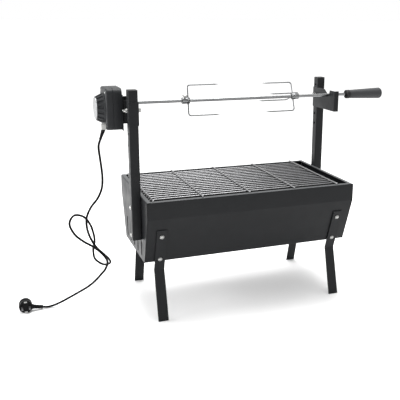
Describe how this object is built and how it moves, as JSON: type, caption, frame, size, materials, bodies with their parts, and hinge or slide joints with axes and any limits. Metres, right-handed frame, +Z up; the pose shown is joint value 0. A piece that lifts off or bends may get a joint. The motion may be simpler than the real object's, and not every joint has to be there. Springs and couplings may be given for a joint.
{
  "type": "charcoal spit roaster",
  "caption": "Open charcoal trough on bent legs with a lift-off cooking grid and a motor-driven rotisserie spit with sliding forks between two posts.",
  "frame": {"origin": "on the floor, under the middle of the object's bounding box without its mains cord and plug", "axes": "+X along the trough from the motor to the spit's handle, +Y from the front to the back, +Z up"},
  "size_m": [1.0973, 0.328, 0.6168],
  "materials": {
    "black_enamel": "black heat-resistant coating, slightly rough, satin",
    "chrome_wire": "bright plated wire and rod",
    "zinc_fastener": "zinc-plated, dull bright",
    "raw_steel": "bare sheet steel",
    "black_plastic": "fine matt moulding grain",
    "black_rubber": "soft PVC, slightly glossy",
    "grey_plastic": "plain light grey moulding",
    "bright_disc": "turned bright face",
    "copper_winding": "enamelled copper wire"
  },
  "bodies": {
    "root": {"back_panel": "black_enamel", "cord_gland": "grey_plastic", "floor_pan": "black_enamel", "front_panel": "black_enamel", "gearbox": "raw_steel", "left_end_panel": "black_enamel", "left_post": "black_enamel", "left_post_bolt_lower": "zinc_fastener", "left_post_bolt_upper": "zinc_fastener", "left_post_cap": "black_plastic", "leg_back_left": "black_enamel", "leg_back_right": "black_enamel", "leg_bolt_back_left_lower": "zinc_fastener", "leg_bolt_back_left_upper": "zinc_fastener", "leg_bolt_back_right_lower": "zinc_fastener", "leg_bolt_back_right_upper": "zinc_fastener", "leg_bolt_front_left_lower": "zinc_fastener", "leg_bolt_front_left_upper": "zinc_fastener", "leg_bolt_front_right_lower": "zinc_fastener", "leg_bolt_front_right_upper": "zinc_fastener", "leg_front_left": "black_enamel", "leg_front_right": "black_enamel", "mains_cord": "black_rubber", "motor_bracket": "black_enamel", "motor_bracket_bolt": "zinc_fastener", "motor_coil": "copper_winding", "motor_end_cover": "black_plastic", "motor_end_disc": "bright_disc", "motor_front_shell": "black_plastic", "motor_mount": "black_enamel", "motor_plate": "black_enamel", "motor_rear_shell": "black_plastic", "plug_body": "black_rubber", "plug_earth_contact_lower": "zinc_fastener", "plug_earth_contact_upper": "zinc_fastener", "plug_pin_left": "zinc_fastener", "plug_pin_right": "zinc_fastener", "right_end_panel": "black_enamel", "right_post": "black_enamel", "right_post_bolt_lower": "zinc_fastener", "right_post_bolt_upper": "zinc_fastener", "right_post_cap": "black_plastic", "spit_rest_bracket": "black_enamel", "spit_rest_bracket_bolt": "zinc_fastener", "strain_relief": "black_rubber"},
    "drive": {"drive_sleeve": "raw_steel"},
    "spit": {"spit_rod": "chrome_wire", "spit_collar": "zinc_fastener", "handle_ferrule": "black_enamel", "spit_handle": "black_plastic"},
    "left_fork": {"left_fork": "chrome_wire"},
    "right_fork": {"right_fork": "chrome_wire"},
    "left_fork_screw": {"left_fork_thumbscrew": "zinc_fastener"},
    "right_fork_screw": {"right_fork_thumbscrew": "zinc_fastener"},
    "motor_bracket_nut": {"motor_bracket_wing_nut": "zinc_fastener"},
    "rest_bracket_nut": {"spit_rest_bracket_wing_nut": "zinc_fastener"},
    "grid": {"cooking_grid": "chrome_wire"},
    "grate": {"charcoal_grate": "raw_steel"}
  },
  "joints": [
    {"name": "drive_turn", "type": "hinge", "parent": "root", "child": "drive", "pos_m": [-0.3823, 0, 0.572], "axis": [1, 0, 0], "continuous": true},
    {"name": "spit_pull_out", "type": "slide", "parent": "drive", "child": "spit", "axis": [1, 0, 0], "range_m": [0, 0.025]},
    {"name": "left_fork_slide", "type": "slide", "parent": "spit", "child": "left_fork", "axis": [1, 0, 0], "range_m": [-0.12, 0.06]},
    {"name": "right_fork_slide", "type": "slide", "parent": "spit", "child": "right_fork", "axis": [1, 0, 0], "range_m": [-0.06, 0.07]},
    {"name": "left_fork_screw_turn", "type": "hinge", "parent": "left_fork", "child": "left_fork_screw", "pos_m": [-0.1921, 0, 0.572], "axis": [0, -0.5446, 0.8387], "continuous": true},
    {"name": "right_fork_screw_turn", "type": "hinge", "parent": "right_fork", "child": "right_fork_screw", "pos_m": [0.1475, 0, 0.572], "axis": [0, 0.9397, 0.342], "continuous": true},
    {"name": "motor_bracket_nut_turn", "type": "hinge", "parent": "root", "child": "motor_bracket_nut", "pos_m": [-0.3733, -0.088, 0.564], "axis": [-1, 0, 0], "continuous": true},
    {"name": "rest_bracket_nut_turn", "type": "hinge", "parent": "root", "child": "rest_bracket_nut", "pos_m": [0.2887, 0.088, 0.564], "axis": [1, 0, 0], "continuous": true},
    {"name": "grid_lift", "type": "slide", "parent": "root", "child": "grid", "axis": [0, 0, 1], "range_m": [0, 0.12]},
    {"name": "grate_lift", "type": "slide", "parent": "root", "child": "grate", "axis": [0, 0, 1], "range_m": [0, 0.1]}
  ]
}
